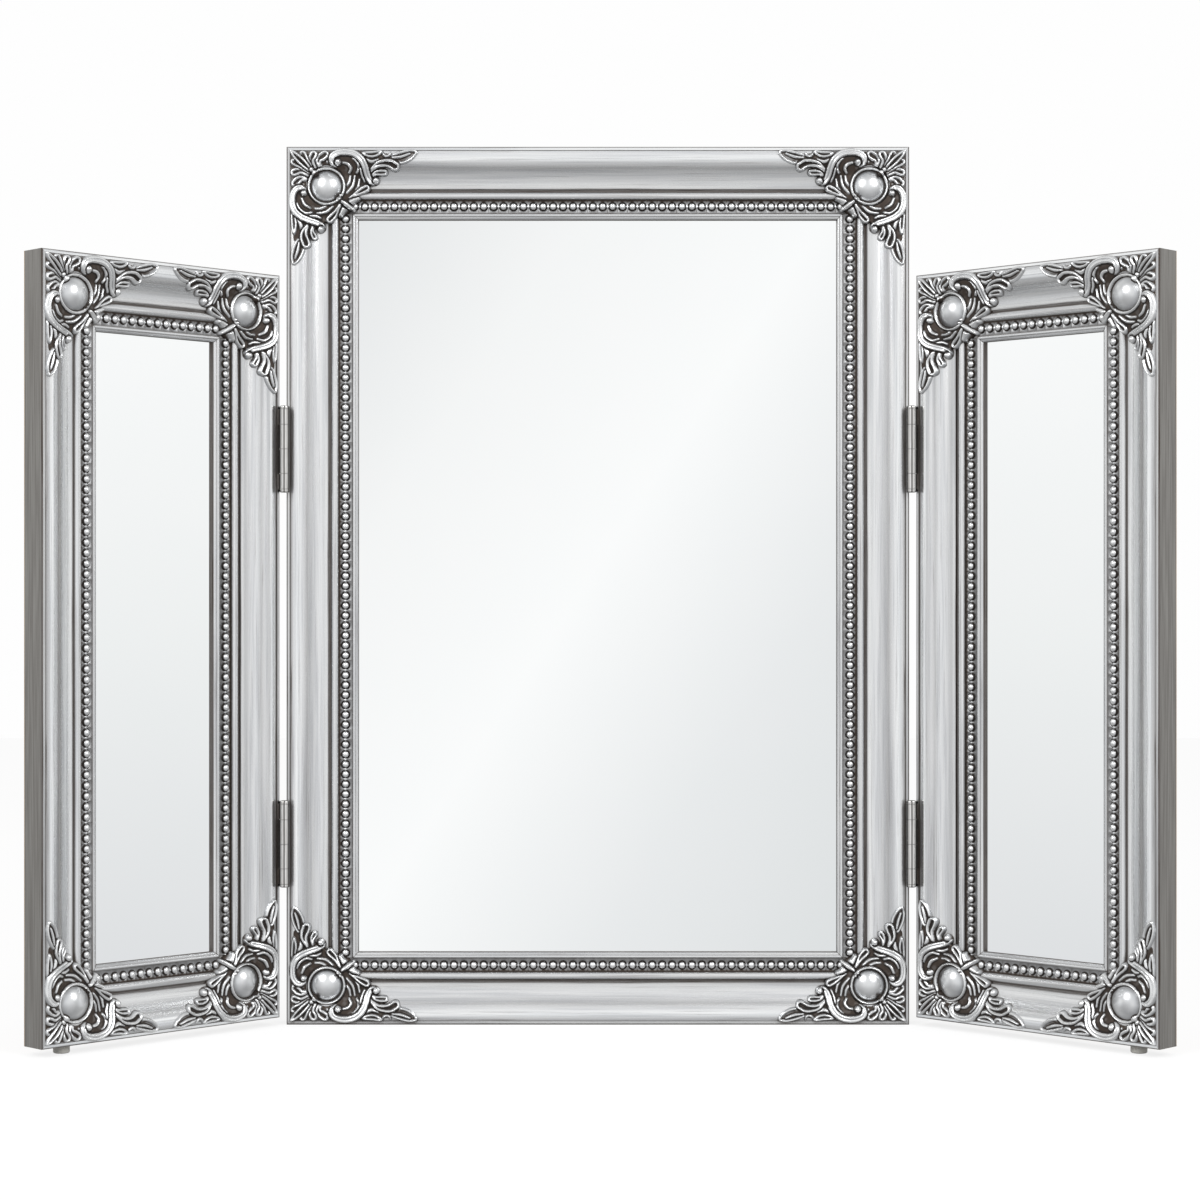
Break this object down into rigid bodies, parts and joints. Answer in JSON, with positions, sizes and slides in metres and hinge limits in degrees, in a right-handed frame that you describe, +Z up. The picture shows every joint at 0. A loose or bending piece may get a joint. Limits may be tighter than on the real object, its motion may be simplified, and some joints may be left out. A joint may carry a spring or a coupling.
{
  "type": "triple dressing table mirror",
  "caption": "Free-standing folding dressing table mirror: a tall framed centre glass with two lower hinged side glasses that swing forward or fold flat over the centre.",
  "frame": {"origin": "middle of the flat underside of the centre panel's bottom rail", "axes": "+Z up, +X to the right across the front, +Y to the back; the glass faces -Y"},
  "size_m": [0.6896, 0.1476, 0.564],
  "materials": {
    "silvered_moulding": "wooden moulding, gessoed and silver leafed, burnished and antiqued with umber wax in the quirks",
    "cast_ornament": "cast resin ornament, silver leafed with dark umber wax in its hollows",
    "bead_row": "cast resin bead row, silver leafed, dark wax between the beads",
    "mirror_glass": "back-silvered float glass",
    "backing_board": "brown hardboard, smooth side out",
    "point_steel": "flat steel framing points",
    "hinge_nickel": "nickel plated steel butt hinges with fixed, round-headed pins",
    "screw_steel": "nickel plated countersunk wood screws",
    "nylon_glide": "white nylon glide with its nail"
  },
  "bodies": {
    "centre_panel": {"centre_backing_board": "backing_board", "centre_bottom_beads": "bead_row", "centre_bottom_left_ornament": "cast_ornament", "centre_bottom_rail": "silvered_moulding", "centre_bottom_right_ornament": "cast_ornament", "centre_hinge_screws": "screw_steel", "centre_left_beads": "bead_row", "centre_left_stile": "silvered_moulding", "centre_lower_left_hinge_leaf": "hinge_nickel", "centre_lower_right_hinge_leaf": "hinge_nickel", "centre_mirror_glass": "mirror_glass", "centre_right_beads": "bead_row", "centre_right_stile": "silvered_moulding", "centre_steel_points": "point_steel", "centre_top_beads": "bead_row", "centre_top_left_ornament": "cast_ornament", "centre_top_rail": "silvered_moulding", "centre_top_right_ornament": "cast_ornament", "centre_upper_left_hinge_leaf": "hinge_nickel", "centre_upper_right_hinge_leaf": "hinge_nickel", "left_hinge_pins": "hinge_nickel", "right_hinge_pins": "hinge_nickel"},
    "left_wing": {"left_wing_backing_board": "backing_board", "left_wing_bottom_beads": "bead_row", "left_wing_bottom_inner_ornament": "cast_ornament", "left_wing_bottom_outer_ornament": "cast_ornament", "left_wing_bottom_rail": "silvered_moulding", "left_wing_glide": "nylon_glide", "left_wing_hinge_beads": "bead_row", "left_wing_hinge_screws": "screw_steel", "left_wing_hinge_stile": "silvered_moulding", "left_wing_lower_hinge_leaf": "hinge_nickel", "left_wing_mirror_glass": "mirror_glass", "left_wing_outer_beads": "bead_row", "left_wing_outer_stile": "silvered_moulding", "left_wing_steel_points": "point_steel", "left_wing_top_beads": "bead_row", "left_wing_top_inner_ornament": "cast_ornament", "left_wing_top_outer_ornament": "cast_ornament", "left_wing_top_rail": "silvered_moulding", "left_wing_upper_hinge_leaf": "hinge_nickel"},
    "right_wing": {"right_wing_backing_board": "backing_board", "right_wing_bottom_beads": "bead_row", "right_wing_bottom_inner_ornament": "cast_ornament", "right_wing_bottom_outer_ornament": "cast_ornament", "right_wing_bottom_rail": "silvered_moulding", "right_wing_glide": "nylon_glide", "right_wing_hinge_beads": "bead_row", "right_wing_hinge_screws": "screw_steel", "right_wing_hinge_stile": "silvered_moulding", "right_wing_lower_hinge_leaf": "hinge_nickel", "right_wing_mirror_glass": "mirror_glass", "right_wing_outer_beads": "bead_row", "right_wing_outer_stile": "silvered_moulding", "right_wing_steel_points": "point_steel", "right_wing_top_beads": "bead_row", "right_wing_top_inner_ornament": "cast_ornament", "right_wing_top_outer_ornament": "cast_ornament", "right_wing_top_rail": "silvered_moulding", "right_wing_upper_hinge_leaf": "hinge_nickel"}
  },
  "joints": [
    {"name": "left_wing_hinge", "type": "hinge", "parent": "centre_panel", "child": "left_wing", "pos_m": [-0.2008, -0.0133, 0.243], "axis": [0, 0, 1], "range_deg": [-45, 135]},
    {"name": "right_wing_hinge", "type": "hinge", "parent": "centre_panel", "child": "right_wing", "pos_m": [0.2008, -0.0133, 0.243], "axis": [0, 0, -1], "range_deg": [-45, 135]}
  ]
}
